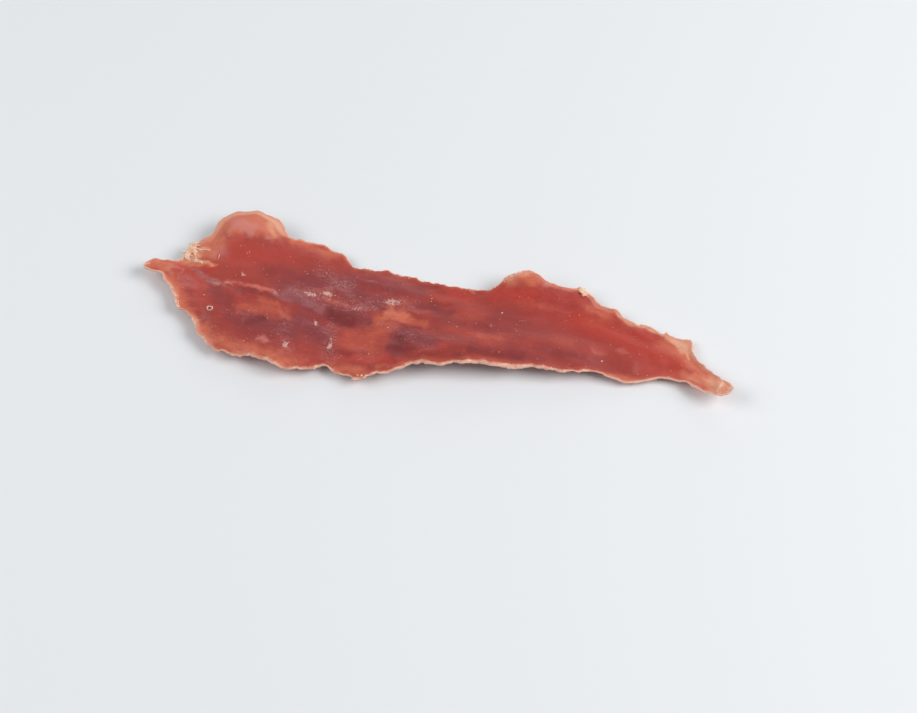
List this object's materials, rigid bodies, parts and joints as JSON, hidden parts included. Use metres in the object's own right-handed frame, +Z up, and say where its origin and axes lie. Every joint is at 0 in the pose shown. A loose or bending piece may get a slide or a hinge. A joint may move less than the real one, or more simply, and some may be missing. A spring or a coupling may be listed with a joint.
{
  "type": "beef jerky strip",
  "caption": "Long thin wavy slice of air-dried meat with a narrow finger at one end, two domed lobes on its far edge, pale torn rims and a pointed other end, lying flat.",
  "frame": {"origin": "centre of the strip's outline, on the surface that it lies on", "axes": "+X along the grain from the narrow finger to the pointed end, +Y across the strip towards its two lobes, +Z up through the side that shows"},
  "size_m": [0.185, 0.0534, 0.0095],
  "materials": {
    "dried_meat": "semi-gloss, slightly translucent dried meat, red to purple-brown, with pale rims",
    "torn_edge": "dry, pale cream fibres and crumbs of the torn edge",
    "white_specks": "matt white crystals and fat specks on the surface"
  },
  "bodies": {
    "root": {"strip": "dried_meat"}
  },
  "joints": []
}
